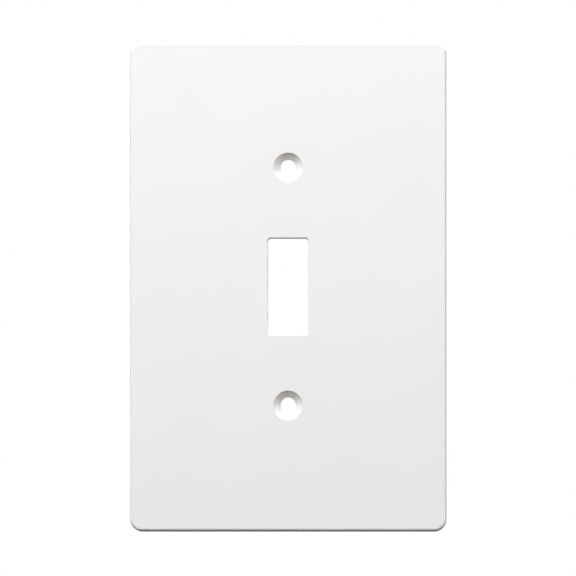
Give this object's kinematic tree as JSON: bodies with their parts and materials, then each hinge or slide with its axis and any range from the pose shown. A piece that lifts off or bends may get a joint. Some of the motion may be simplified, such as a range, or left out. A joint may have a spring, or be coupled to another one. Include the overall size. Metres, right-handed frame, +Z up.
{
  "type": "toggle switch wall plate",
  "caption": "Flat rectangular wall plate with softly rounded edges, a rectangular toggle opening, countersunk screw holes above and below it, and a ribbed hollow back.",
  "frame": {"origin": "the plate's centre on the wall plane, where its rim meets the wall", "axes": "+Z up the wall, +Y into the wall, so the face looks along -Y, and +X to the right of a person facing the plate"},
  "size_m": [0.0802, 0.0064, 0.1244],
  "materials": {
    "white_plastic": "smooth moulded white, low gloss"
  },
  "bodies": {
    "root": {"wall_plate": "white_plastic"}
  },
  "joints": []
}
